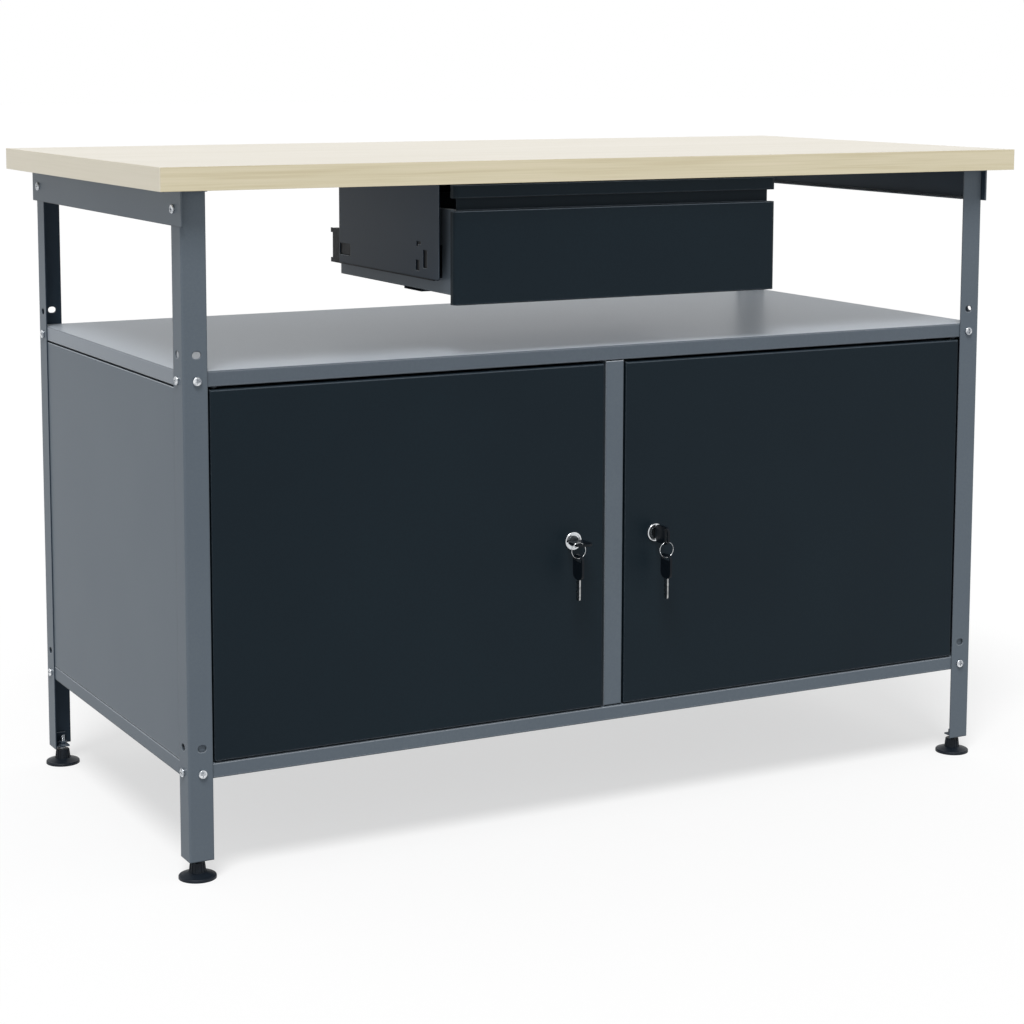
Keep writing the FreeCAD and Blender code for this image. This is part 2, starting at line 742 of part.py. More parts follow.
def make_fasteners():
    """Bolts and nuts that hold the pans and rails to the legs."""
    bolts, nuts = [], []
    grip = "(leg_sheet + steel_sheet)"
    for name, side_x, side_y in CORNERS:
        face = "front" if side_y < 0 else "rear"
        flank = "left" if side_x < 0 else "right"
        for level, z in (("upper", SHELF_BOLT_Z), ("lower", FLOOR_BOLT_Z)):
            tag = name + level
            x, y = signed(side_x, LEG_X + " - bolt_edge"), signed(side_y, LEG_Y)
            seat = signed(side_y, LEG_Y + " - " + grip)
            bolts.append(fastener("bolt_f_" + tag, x, y, z, face))
            nuts.append(nut("nut_f_" + tag, x, seat, z, face))
            x, y = signed(side_x, LEG_X), signed(side_y, LEG_Y + " - bolt_edge")
            seat = signed(side_x, LEG_X + " - " + grip)
            bolts.append(fastener("bolt_s_" + tag, x, y, z, flank))
            nuts.append(nut("nut_s_" + tag, seat, y, z, flank))
        y = signed(side_y, LEG_Y + " - bolt_edge")
        x = signed(side_x, LEG_X + " + rail_sheet")
        seat = signed(side_x, INNER_X)
        bolts.append(fastener("bolt_r_" + name, x, y, RAIL_BOLT_Z, flank))
        nuts.append(nut("nut_r_" + name, seat, y, RAIL_BOLT_Z, flank))
    keep(group("bolts", bolts), "frame_bolts")
    keep(group("nuts", nuts), "frame_nuts")
    screws = []
    for i, (x, y) in enumerate(screw_places()):
        at_rail = abs(value(x)) > value("hanger_half_width")
        seat = LEG_TOP if at_rail else UNDERSIDE + " - hanger_sheet"
        head = cylinder(
            "screw%d_head" % i, "screw_head_radius", "screw_head_thick",
            x, y, seat + " - screw_head_thick",
        )
        reach = "screw_length" if at_rail else "screw_length + hanger_sheet - rail_sheet"
        shank = cylinder("screw%d_shank" % i, "screw_radius", reach, x, y, seat)
        screws.append(fuse("screw%d" % i, [head, shank]))
    keep(group("screws", screws), "worktop_screws")


def make_feet():
    """Brackets welded inside the legs, and the screwed feet below them."""
    welded = []
    for name, side_x, side_y in CORNERS:
        x_in, y_in = INNER_X, INNER_Y

        def span(side, outer, inner):
            low, high = (signed(side, outer), signed(side, inner))
            return (low, high) if side < 0 else (high, low)

        x_low, x_high = span(side_x, x_in, x_in + " - bracket_size")
        y_low, y_high = span(side_y, y_in, y_in + " - bracket_size")
        ear_x = span(side_x, x_in, x_in + " - bracket_sheet")
        ear_y = span(side_y, y_in, y_in + " - bracket_sheet")
        ear_top = "leg_bottom + bracket_ear"
        tab_top = "leg_bottom + bracket_sheet"
        tab = box("tab_" + name, (x_low, y_low, "leg_bottom"), (x_high, y_high, tab_top))
        flank = box("flank_" + name, (ear_x[0], y_low, "leg_bottom"), (ear_x[1], y_high, ear_top))
        face = box("face_" + name, (x_low, ear_y[0], "leg_bottom"), (x_high, ear_y[1], ear_top))
        folded = fuse("folded_" + name, [tab, flank, face])
        corner = (signed(side_x, x_in), signed(side_y, y_in))
        eased = rounded("eased_" + name, folded, "leg_bend - leg_sheet", near_corner(*corner, 0.2))
        centre = (signed(side_x, FOOT_X), signed(side_y, FOOT_Y))
        loose = "foot_screw_radius + bolt_hole_gap"
        bore = cylinder(
            "way_" + name, loose, "3 * bracket_sheet", *centre, "leg_bottom - bracket_sheet"
        )
        welded.append(cut("bracket_" + name, eased, [bore]))
        block = hexagon("weld_nut_" + name, "foot_nut_flats", "foot_nut_thick", *centre, tab_top)
        thread = "foot_screw_radius + running_gap"
        hole = cylinder("thread_" + name, thread, "3 * foot_nut_thick", *centre, "leg_bottom")
        welded.append(cut("welded_nut_" + name, block, [hole]))
        make_foot(name, *centre)
    keep(group("brackets", welded), "foot_brackets")


def make_foot(name, x, y):
    """A plastic disc that rises to a tapered neck, moulded round the end of a screw."""
    disc = cylinder("disc_" + name, "foot_radius", "foot_rim", x, y, "0")
    top = value("foot_rim")
    soft = rounded(
        "soft_" + name, disc, "foot_rim * 0.45",
        lambda edge: edge.Closed and abs(edge.Vertexes[0].Point.z - top) < 1e-6,
    )
    slope = doc.addObject("Part::Cone", "slope_" + name)
    bind(slope, Radius1="foot_radius - foot_rim * 0.6", Radius2="foot_shoulder_radius")
    bind(slope, Height="foot_shoulder")
    place(slope, x, y, "foot_rim")
    neck = doc.addObject("Part::Cone", "neck_" + name)
    bind(neck, Radius1="foot_cone_radius", Radius2="foot_neck_radius")
    bind(neck, Height="foot_neck_height - foot_rim - foot_shoulder")
    place(neck, x, y, "foot_rim + foot_shoulder")
    moulded = fuse("moulded_" + name, [soft, slope, neck])
    bore = cylinder("socket_" + name, "foot_screw_radius", "2 * foot_neck_height", x, y, "foot_socket")
    keep(cut("foot_cut_" + name, moulded, [bore]), "foot_" + name)
    length = "foot_screw_top - foot_socket"
    stud = cylinder("stud_" + name, "foot_screw_radius", length, x, y, "foot_socket")
    keep(stud, "foot_screw_" + name)


def make_bushes():
    """Plastic bushes in the shelf and the floor that the door pins turn in."""
    bushes = []
    for name, side in SIDES:
        x = signed(side, PIN_X)
        bore = "pin_radius + running_gap"
        for level, face, step in (("top", SHELF_LIP, -1), ("bottom", "floor_top", 1)):
            flange_z = face if step > 0 else face + " - bush_flange_thick"
            body_z = face if step < 0 else face + " - bush_depth"
            tag = "bush_%s_%s" % (name, level)
            flange = cylinder(
                tag + "_flange", "bush_flange_radius", "bush_flange_thick", x, PIN_Y, flange_z
            )
            body = cylinder(tag + "_body", "bush_radius", "bush_depth", x, PIN_Y, body_z)
            way = cylinder(tag + "_way", bore, "6 * bush_depth", x, PIN_Y, face + " - 3 * bush_depth")
            bushes.append(cut(tag, fuse(tag + "_whole", [flange, body]), [way]))
    keep(group("bushes", bushes), "door_pivot_bushes")


def make_door(name, side):
    """A folded steel door with its lock hole and pivot pins."""
    label = "door_panel_" + name
    face = DOOR_FACE
    back = DOOR_FACE + " + door_depth"
    block = sided_box(label + "_block", side, DOOR_INNER, DOOR_OUTER, face, back, DOOR_BOTTOM, DOOR_TOP)
    front = value(face)

    def shows(edge):
        return all(abs(point.Point.y - front) < 1e-6 for point in edge.Vertexes)

    shell = rounded(label + "_shell", block, "door_bend", shows)
    hollow = sided_box(
        label + "_hollow", side, DOOR_INNER + " + steel_sheet", DOOR_OUTER + " - steel_sheet",
        face + " + steel_sheet", back + " - steel_sheet",
        DOOR_BOTTOM + " + steel_sheet", DOOR_TOP + " - steel_sheet",
    )
    mouth = sided_box(
        label + "_mouth", side, DOOR_INNER + " + door_return", DOOR_OUTER + " - door_return",
        back + " - 2 * steel_sheet", back + " + steel_sheet",
        DOOR_BOTTOM + " + door_return", DOOR_TOP + " - door_return",
    )
    x = signed(side, PIN_X)
    lock_x = signed(side, "lock_offset")
    lock_hole = cylinder(
        label + "_lock_hole", "barrel_radius + 2 * thread_gap", "3 * steel_sheet",
        lock_x, face + " - steel_sheet", "lock_height", ALONG_Y,
    )
    low = cylinder(
        label + "_pin_low", "pin_radius", "3 * steel_sheet", x, PIN_Y, DOOR_BOTTOM + " - steel_sheet"
    )
    high = cylinder(
        label + "_pin_high", "pin_radius", "3 * steel_sheet", x, PIN_Y, DOOR_TOP + " - 2 * steel_sheet"
    )
    keep(cut(label + "_sheet", shell, [hollow, mouth, lock_hole, low, high]), label)
    pins = []
    low_seat = DOOR_BOTTOM + " + steel_sheet"
    high_seat = DOOR_TOP + " - steel_sheet"
    for level, gap, start, head_z in (
        ("bottom", "door_bottom_gap", "floor_top - pin_engage", low_seat),
        ("top", "door_top_gap", high_seat + " - pin_tail", high_seat + " - pin_head_thick"),
    ):
        tag = "pin_%s_%s" % (name, level)
        length = "pin_tail + steel_sheet + pin_engage + " + gap
        bar = cylinder(tag + "_bar", "pin_radius", length, x, PIN_Y, start)
        head = cylinder(tag + "_head", "pin_head_radius", "pin_head_thick", x, PIN_Y, head_z)
        pins.append(fuse(tag, [bar, head]))
    keep(group("pins_" + name, pins), "door_pins_" + name)


def make_lock(name, side):
    """A cam lock: housing, nut, turning plug and the cam on its tail."""
    x, z = signed(side, "lock_offset"), "lock_height"
    face = DOOR_FACE
    bezel = cylinder(
        "bezel_" + name, "bezel_radius", "bezel_thick", x, face + " - bezel_thick", z, ALONG_Y
    )
    front = value(face + " - bezel_thick")
    soft = rounded(
        "soft_bezel_" + name, bezel, "bezel_thick * 0.55",
        lambda edge: edge.Closed and abs(edge.Vertexes[0].Point.y - front) < 1e-6,
    )
    barrel = cylinder("barrel_" + name, "barrel_radius", "barrel_length", x, face, z, ALONG_Y)
    whole = fuse("housing_whole_" + name, [soft, barrel])
    bore = cylinder(
        "bore_" + name, "plug_radius + running_gap", "3 * barrel_length",
        x, face + " - barrel_length", z, ALONG_Y,
    )
    dish = cylinder(
        "dish_" + name, "bezel_radius - bezel_thick", "bezel_thick",
        x, face + " - 2 * bezel_thick + bezel_recess", z, ALONG_Y,
    )
    keep(cut("housing_" + name, whole, [bore, dish]), "lock_housing_" + name)
    start = face + " + steel_sheet"
    block = hexagon("lock_hex_" + name, "lock_nut_flats", "lock_nut_thick", x, start, z, ALONG_Y)
    way = cylinder(
        "lock_hex_way_" + name, "barrel_radius + thread_gap", "3 * lock_nut_thick", x, face, z, ALONG_Y
    )
    keep(cut("lock_ring_" + name, block, [way]), "lock_nut_" + name)
    make_plug(name, side, x, z)


def make_plug(name, side, x, z):
    """The keyed plug, its square tail with a riveted end, and the cam held there."""
    face = DOOR_FACE
    cam_back = CAM_Y + " + cam_thick"
    flat_lies = side < 0
    core_end = "(barrel_length + fit_gap)"
    core = cylinder(
        "core_" + name, "plug_radius", core_end + " + plug_face", x, face + " - plug_face", z, ALONG_Y
    )
    tail_half = "plug_tail / 2"
    tail = box(
        "tail_" + name,
        (x + " - " + tail_half, face + " + " + core_end, z + " - " + tail_half),
        (x + " + " + tail_half, cam_back, z + " + " + tail_half),
    )
    shank_start = cam_back + " - cam_screw_length"
    shank = cylinder(
        "cam_screw_shank_" + name, "cam_screw_radius", "cam_screw_length", x, shank_start, z, ALONG_Y
    )
    head = cylinder(
        "cam_screw_head_" + name, "cam_screw_head", "cam_screw_head_thick", x, cam_back, z, ALONG_Y
    )
    keep(fuse("cam_screw_whole_" + name, [shank, head]), "cam_screw_" + name)
    socket = cylinder(
        "cam_screw_way_" + name, "cam_screw_radius + thread_gap", "2 * cam_screw_length",
        x, shank_start + " - fit_gap", z, ALONG_Y,
    )
    wide, thin = "(blade_width / 2 + keyway_gap)", "(blade_thick / 2 + keyway_gap)"
    half_x, half_z = (wide, thin) if flat_lies else (thin, wide)
    keyway = box(
        "keyway_" + name,
        (x + " - " + half_x, face + " - 2 * plug_face", z + " - " + half_z),
        (x + " + " + half_x, face + " + blade_length - key_shoulder + 1", z + " + " + half_z),
    )
    whole = fuse("plug_whole_" + name, [core, tail])
    keep(cut("plug_" + name, whole, [keyway, socket]), "lock_plug_" + name)
    plate = box(
        "cam_plate_" + name,
        (x + " - cam_width / 2", CAM_Y, z + " + cam_width / 2 - cam_length"),
        (x + " + cam_width / 2", CAM_Y + " + cam_thick", z + " + cam_width / 2"),
    )
    eased = rounded(
        "cam_eased_" + name, plate, "cam_width * 0.4", lambda edge: runs_along(edge, AXIS_Y)
    )
    square = "(plug_tail / 2 + thread_gap)"
    way = box(
        "cam_way_" + name,
        (x + " - " + square, CAM_Y + " - cam_thick", z + " - " + square),
        (x + " + " + square, CAM_Y + " + 2 * cam_thick", z + " + " + square),
    )
    keep(cut("cam_" + name, eased, [way]), "lock_cam_" + name)


def key_pieces(name):
    """One key, drawn lying on the XY plane with its blade along +Y from the shoulder."""
    blade = box(
        name + "_blank",
        ("0 - blade_width / 2", "0 - blade_root", "0 - blade_thick / 2"),
        ("blade_width / 2", "blade_length", "blade_thick / 2"),
    )
    tip = value("blade_length")
    pointed = rounded(
        name + "_pointed", blade, "blade_width * 0.35",
        lambda edge: runs_along(edge, AXIS_Z) and edge.Vertexes[0].Point.y > tip - 0.1,
    )
    bites = []
    for i, (start, depth) in enumerate(((0.2, 1.2), (0.42, 2.0), (0.64, 0.9))):
        low = "blade_length * %s" % start
        bites.append(
            box(
                "%s_bite%d" % (name, i),
                ("blade_width / 2 - %s" % depth, low, "0 - blade_thick"),
                ("blade_width", low + " + blade_length * 0.12", "blade_thick"),
            )
        )
    cut_blade = cut(name + "_blade", pointed, bites)
    slab = box(
        name + "_slab",
        ("0 - bow_width / 2", "0 - bow_length", "0 - bow_thick / 2"),
        ("bow_width / 2", "0", "bow_thick / 2"),
    )
    shaped = rounded(name + "_shaped", slab, "bow_corner", lambda edge: runs_along(edge, AXIS_Z))
    eye = box(
        name + "_eye",
        ("0 - eye_length / 2", "bow_rim - bow_length", "0 - bow_thick"),
        ("eye_length / 2", "bow_rim + eye_width - bow_length", "bow_thick"),
    )
    slot = rounded(name + "_slot", eye, "eye_corner", lambda edge: runs_along(edge, AXIS_Z))
    socket = box(
        name + "_root",
        ("0 - blade_width / 2", "0 - blade_root", "0 - blade_thick / 2"),
        ("blade_width / 2", "blade_root", "blade_thick / 2"),
    )
    return cut_blade, cut(name + "_bow", shaped, [slot, socket])


def make_keys(name, side):
    """The key in the lock, its ring, and the spare key that hangs from the ring."""
    x = signed(side, "lock_offset")
    shoulder = DOOR_FACE + " - key_shoulder"
    lying = side < 0
    turn = ALONG_Z if lying else FreeCAD.Rotation(FreeCAD.Vector(0, 1, 0), 90)
    blade, bow = key_pieces("key_" + name)
    place(blade, x, shoulder, "lock_height", turn)
    place(bow, x, shoulder, "lock_height", turn)
    shift = "ring_shift_left" if lying else "0"
    drop = "ring_drop_left" if lying else RING_DROP
    ring_x = "%s + %s" % (x, shift)
    ring_z = "lock_height - " + drop
    ring = doc.addObject("Part::Torus", "ring_" + name)
    bind(ring, Radius1="ring_radius", Radius2="ring_wire")
    place(ring, ring_x, KEY_HOLE_Y, ring_z, ALONG_Y)
    keep(ring, "key_ring_" + name)
    hang = FreeCAD.Rotation(FreeCAD.Vector(0, 0, 1), 90).multiply(ALONG_Y)
    spare_blade, spare_bow = key_pieces("spare_" + name)
    low = "%s - %s - (bow_length - bow_rim - eye_width / 2)" % (ring_z, SPARE_DROP)
    place(spare_blade, ring_x, KEY_HOLE_Y, low, hang)
    place(spare_bow, ring_x, KEY_HOLE_Y, low, hang)
    keep(group("blades_" + name, [blade, spare_blade]), "key_blades_" + name)
    keep(group("bows_" + name, [bow, spare_bow]), "key_bows_" + name)


def make_hanger(label, side):
    """A bracket screwed under the worktop that carries one drawer slide."""
    front, rear = "0 - hanger_front", "hanger_rear"
    plate = sided_box(
        label + "_blank", side, HANGER_IN, "hanger_half_width", front, rear, HANGER_BOTTOM, UNDERSIDE
    )
    corner_y, corner_z = value(front), value(HANGER_BOTTOM)

    def lower_front(edge):
        start = edge.Vertexes[0].Point
        at_corner = abs(start.y - corner_y) < 1e-6 and abs(start.z - corner_z) < 1e-6
        return runs_along(edge, AXIS_X) and at_corner

    eased = rounded(label + "_eased", plate, "hanger_corner", lower_front)
    flange = sided_box(
        label + "_flange", side, "hanger_half_width - hanger_flange", "hanger_half_width",
        front, rear, UNDERSIDE + " - hanger_sheet", UNDERSIDE,
    )
    whole = fuse(label + "_whole", [eased, flange])
    inner = HANGER_IN + " - hanger_sheet"
    outer = "hanger_half_width + hanger_sheet"
    openings = (
        ("tall", 32.5, 43.5, 12.6, 34.0),
        ("small", 53.5, 64.0, 8.3, 20.6),
        ("upper", 50.0, 62.0, 40.5, 43.5),
        ("hook", 57.5, 62.0, 37.4, 40.5),
        ("rear", 259.0, 292.0, 11.0, 25.7),
    )
    tools = []
    for name, near, far, low, high in openings:
        tools.append(
            sided_box(
                "%s_%s" % (label, name), side, inner, outer,
                "%s - hanger_front" % near, "%s - hanger_front" % far,
                "%s + %s" % (HANGER_BOTTOM, low), "%s + %s" % (HANGER_BOTTOM, high),
            )
        )
    for i, (x, y) in enumerate(screw_places()):
        if value(FLANGE_IN) < value(x) * side < value("hanger_half_width"):
            spot = (x, y, UNDERSIDE + " - 2 * hanger_sheet")
            tools.append(cylinder("%s_screw%d" % (label, i), "screw_radius", "3 * hanger_sheet", *spot))
    keep(cut(label + "_slotted", whole, tools), label)


def make_brace():
    """The angle that joins the two hangers behind the drawer."""
    web_half, flange_half = HANGER_IN, FLANGE_IN + " - fit_gap"
    seat = UNDERSIDE + " - hanger_sheet"
    web = box(
        "brace_web",
        ("0 - " + web_half, BRACE_REAR + " - hanger_sheet", DRAWER_BOTTOM + " + drawer_height + brace_clear"),
        (web_half, BRACE_REAR, seat),
    )
    flange = box(
        "brace_flange_plate",
        ("0 - (%s)" % flange_half, BRACE_REAR + " - brace_flange", seat),
        (flange_half, BRACE_REAR, UNDERSIDE),
    )
    tools = []
    for i, (x, y) in enumerate(screw_places()):
        if abs(value(x)) < value(flange_half):
            spot = (x, y, UNDERSIDE + " - 2 * hanger_sheet")
            tools.append(cylinder("brace_screw%d" % i, "screw_radius", "3 * hanger_sheet", *spot))
    keep(cut("brace_drilled", fuse("brace_whole", [web, flange]), tools), "hanger_brace")


def slide_member(label, side, web, lips, height, sheet, front, rear):
    """A channel of a telescopic slide: a web with a lip along its top and bottom."""
    middle = "(%s + slide_height / 2)" % SLIDE_BOTTOM
    low, high = "%s - %s / 2" % (middle, height), "%s + %s / 2" % (middle, height)
    return [
        sided_box(label + "_web", side, *web, front, rear, low, high),
        sided_box(label + "_low", side, *lips, front, rear, low, "%s + %s" % (low, sheet)),
        sided_box(label + "_high", side, *lips, front, rear, "%s - %s" % (high, sheet), high),
    ]


def make_slides(name, side):
    """Outer, middle and inner members of one ball slide."""
    front, rear = "0 - slide_front", "slide_rear"
    outer_web = (HANGER_IN + " - slide_sheet", HANGER_IN)
    outer_lips = (HANGER_IN + " - outer_lip", HANGER_IN)
    outer = slide_member(
        "slide_out_" + name, side, outer_web, outer_lips, "slide_height", "slide_sheet", front, rear
    )
    hook_top = SLIDE_BOTTOM + " + slide_height - hook_height"
    for level, low in (("low", SLIDE_BOTTOM), ("high", hook_top)):
        outer.append(
            sided_box(
                "hook_%s_%s" % (name, level), side, *outer_web,
                rear, "slide_rear + hook_length", low, low + " + hook_height",
            )
        )
    keep(fuse("slide_out_whole_" + name, outer), "slide_outer_" + name)
    middle_back = HANGER_IN + " - middle_offset"
    middle_web = (middle_back + " - middle_sheet", middle_back)
    middle_lips = (middle_back + " - middle_lip", middle_back)
    middle = slide_member(
        "slide_mid_" + name, side, middle_web, middle_lips, "middle_height", "middle_sheet",
        front + " + member_set_back", rear + " - member_set_back",
    )
    keep(fuse("slide_mid_whole_" + name, middle), "slide_middle_" + name)
    inner_web = ("drawer_half_width", "drawer_half_width + slide_sheet")
    inner_lips = ("drawer_half_width", "drawer_half_width + inner_lip")
    inner = slide_member(
        "slide_in_" + name, side, inner_web, inner_lips, "inner_height", "slide_sheet",
        front, rear + " - 2 * member_set_back",
    )
    keep(fuse("slide_in_whole_" + name, inner), "slide_inner_" + name)


def make_drawer():
    """The folded box, the front with its finger grip, and the cross stiffener."""
    half = "drawer_half_width"
    top = DRAWER_BOTTOM + " + drawer_height"
    block = box("tray_block", ("0 - " + half, FRONT_BACK, DRAWER_BOTTOM), (half, "drawer_rear", top))
    hollow = box(
        "tray_hollow",
        ("steel_sheet - " + half, FRONT_BACK + " + steel_sheet", DRAWER_BOTTOM + " + steel_sheet"),
        (half + " - steel_sheet", "drawer_rear - steel_sheet", top + " - steel_sheet"),
    )
    mouth = box(
        "tray_mouth",
        ("drawer_lip - " + half, FRONT_BACK + " + drawer_lip", top + " - 2 * steel_sheet"),
        (half + " - drawer_lip", "drawer_rear - drawer_lip", top + " + steel_sheet"),
    )
    keep(cut("tray", block, [hollow, mouth]), "drawer_box")
    face = "0 - drawer_front_face"
    wide = "front_half_width"
    slab = box(
        "front_block", ("0 - " + wide, face, FRONT_BOTTOM), (wide, FRONT_BACK, FRONT_TOP)
    )
    front_y = value(face)

    def front_upright(edge):
        return runs_along(edge, AXIS_Z) and abs(edge.Vertexes[0].Point.y - front_y) < 1e-6

    soft = rounded("front_soft", slab, "front_bend", front_upright)
    grip = box(
        "front_grip",
        ("0 - 2 * " + wide, face + " - 1", GRIP_BOTTOM),
        ("2 * " + wide, FRONT_BACK + " - steel_sheet", GRIP_TOP),
    )
    tools = [grip]
    for name, side in SIDES:
        tools.append(
            sided_box(
                "front_notch_" + name, side, half, "2 * " + wide,
                face, FRONT_BACK + " + 1", GRIP_BOTTOM, GRIP_TOP,
            )
        )
    for name, low, high in (("low", FRONT_BOTTOM, GRIP_BOTTOM), ("high", GRIP_TOP, FRONT_TOP)):
        hollow_block = box(
            "front_hollow_block_" + name,
            ("steel_sheet - " + wide, face + " + steel_sheet", low + " + steel_sheet"),
            (wide + " - steel_sheet", FRONT_BACK + " + 1", high + " - steel_sheet"),
        )
        inner_y = value(face + " + steel_sheet")
        tools.append(
            rounded(
                "front_hollow_" + name, hollow_block, "front_bend - steel_sheet",
                lambda edge, y=inner_y: runs_along(edge, AXIS_Z)
                and abs(edge.Vertexes[0].Point.y - y) < 1e-6,
            )
        )
    keep(cut("front_shell", soft, tools), "drawer_front")
    reach = "stiffener_half"
    low = DRAWER_BOTTOM + " - stiffener_depth"
    y_low = "0 - stiffener_middle - stiffener_width / 2"
    y_high = "stiffener_width / 2 - stiffener_middle"
    channel = box("stiff_block", ("0 - " + reach, y_low, low), (reach, y_high, DRAWER_BOTTOM))
    trough = box(
        "stiff_trough",
        ("0 - 2 * " + reach, y_low + " + steel_sheet", low + " + steel_sheet"),
        ("2 * " + reach, y_high + " - steel_sheet", DRAWER_BOTTOM + " + 1"),
    )
    keep(cut("stiffener", channel, [trough]), "drawer_stiffener")


def build():
    """Make every sub-part of the bench."""
    make_worktop()
    for name, side_x, side_y in CORNERS:
        make_leg("leg_" + name, side_x, side_y)
    make_pan("cabinet_shelf", "shelf_top")
    make_pan("cabinet_floor", "floor_top")
    make_rear_panel()
    make_post()
    make_fasteners()
    make_feet()
    make_bushes()
    make_brace()
    make_drawer()
    for name, side in SIDES:
        make_rail("side_rail_" + name, side)
        make_side_panel("side_panel_" + name, side)
        make_door(name, side)
        make_lock(name, side)
        make_keys(name, side)
        make_hanger("drawer_hanger_" + name, side)
        make_slides(name, side)


def check_and_write():
    """Stop at any failed object, then write each sub-part's solids."""
    doc.recompute()
    failed = [item.Label for item in doc.Objects if {"Invalid", "Error"} & set(item.State)]
    if failed:
        raise RuntimeError("objects that failed: %s" % ", ".join(failed))
    os.makedirs("parts", exist_ok=True)
    for item in parts:
        shape = item.Shape
        if shape.isNull() or not shape.isValid() or not shape.Solids:
            raise RuntimeError("bad shape: %s" % item.Label)
        shape.exportStep("parts/%s.step" % item.Label)
        print("%-26s solids %2d volume %10.1f" % (item.Label, len(shape.Solids), shape.Volume))
    print("sub-parts:", len(parts))


build()
check_and_write()
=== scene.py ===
import math

import bmesh
import bpy
from mathutils import Matrix, Vector


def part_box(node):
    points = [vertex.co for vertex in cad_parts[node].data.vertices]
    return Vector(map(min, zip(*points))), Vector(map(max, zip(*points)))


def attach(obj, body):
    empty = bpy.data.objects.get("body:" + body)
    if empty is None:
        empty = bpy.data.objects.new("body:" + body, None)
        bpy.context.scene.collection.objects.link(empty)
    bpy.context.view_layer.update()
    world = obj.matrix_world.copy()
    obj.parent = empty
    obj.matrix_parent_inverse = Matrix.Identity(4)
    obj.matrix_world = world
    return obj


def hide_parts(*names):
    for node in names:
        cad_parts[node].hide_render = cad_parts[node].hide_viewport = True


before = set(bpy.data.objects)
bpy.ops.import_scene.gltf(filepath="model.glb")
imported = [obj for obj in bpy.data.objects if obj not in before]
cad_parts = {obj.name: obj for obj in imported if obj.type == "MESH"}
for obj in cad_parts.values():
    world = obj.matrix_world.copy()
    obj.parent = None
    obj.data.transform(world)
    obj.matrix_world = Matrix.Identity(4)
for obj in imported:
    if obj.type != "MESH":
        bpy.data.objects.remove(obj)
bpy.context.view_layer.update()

# Workbench with a two-door steel cabinet, a shelf and one hanging drawer.
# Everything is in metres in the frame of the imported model; MM turns a size in millimetres.
MM = 0.001


# Finishes

def linear(code, alpha=1.0):
    """An sRGB hex colour as linear light."""
    shades = [int(code[i:i + 2], 16) / 255 for i in (1, 3, 5)]
    return [s / 12.92 if s <= 0.04045 else ((s + 0.055) / 1.055) ** 2.4 for s in shades] + [alpha]


def add(tree, kind, inputs=None, **settings):
    """Add a node with its settings, and fill its inputs with values or with other nodes' outputs."""
    made = tree.nodes.new(kind)
    for name, setting in settings.items():
        setattr(made, name, setting)
    for socket, source in (inputs or {}).items():
        if isinstance(source, bpy.types.NodeSocket):
            tree.links.new(source, made.inputs[socket])
        else:
            made.inputs[socket].default_value = source
    return made


def new_finish(name):
    """A material with an empty node tree and its output."""
    material = bpy.data.materials.new(name)
    material.use_nodes = True
    tree = material.node_tree
    tree.nodes.clear()
    return material, tree, add(tree, "ShaderNodeOutputMaterial")


def surface_point(tree, stretch=(1.0, 1.0, 1.0)):
    """Places on the surface in metres, stretched by three factors."""
    where = add(tree, "ShaderNodeTexCoord")
    return add(tree, "ShaderNodeMapping", {"Vector": where.outputs["Object"], "Scale": stretch}).outputs[0]


def bend_turn(tree, rounded_normal):
    """How far a bend turns from its flat: above 0 where it turns up or to the front, below 0 where down."""
    up_and_front = (0.0, -0.5, 1.0)  # a turn to the front counts half as much as one upward
    turned = add(
        tree, "ShaderNodeVectorTransform", {0: rounded_normal},
        vector_type="NORMAL", convert_from="WORLD", convert_to="OBJECT",
    )
    flat = add(tree, "ShaderNodeTexCoord")
    change = add(
        tree, "ShaderNodeVectorMath", {0: turned.outputs[0], 1: flat.outputs["Normal"]},
        operation="SUBTRACT",
    )
    return add(
        tree, "ShaderNodeVectorMath", {0: change.outputs[0], 1: up_and_front},
        operation="DOT_PRODUCT",
    ).outputs["Value"]


def inner_faces(tree):
    """1 on the faces that look in towards the middle of the bench, 0 on those that look out."""
    without_height = (1.0, 1.0, 0.0)
    inward_limit = -0.02  # in metres: the level place along the face's normal
    where = add(tree, "ShaderNodeTexCoord")
    level_spot = add(
        tree, "ShaderNodeVectorMath",
        {0: where.outputs["Object"], 1: without_height}, operation="MULTIPLY",
    )
    outward = add(
        tree, "ShaderNodeVectorMath",
        {0: level_spot.outputs[0], 1: where.outputs["Normal"]}, operation="DOT_PRODUCT",
    )
    return add(
        tree, "ShaderNodeMath", {0: outward.outputs["Value"], 1: inward_limit},
        operation="LESS_THAN",
    ).outputs[0]


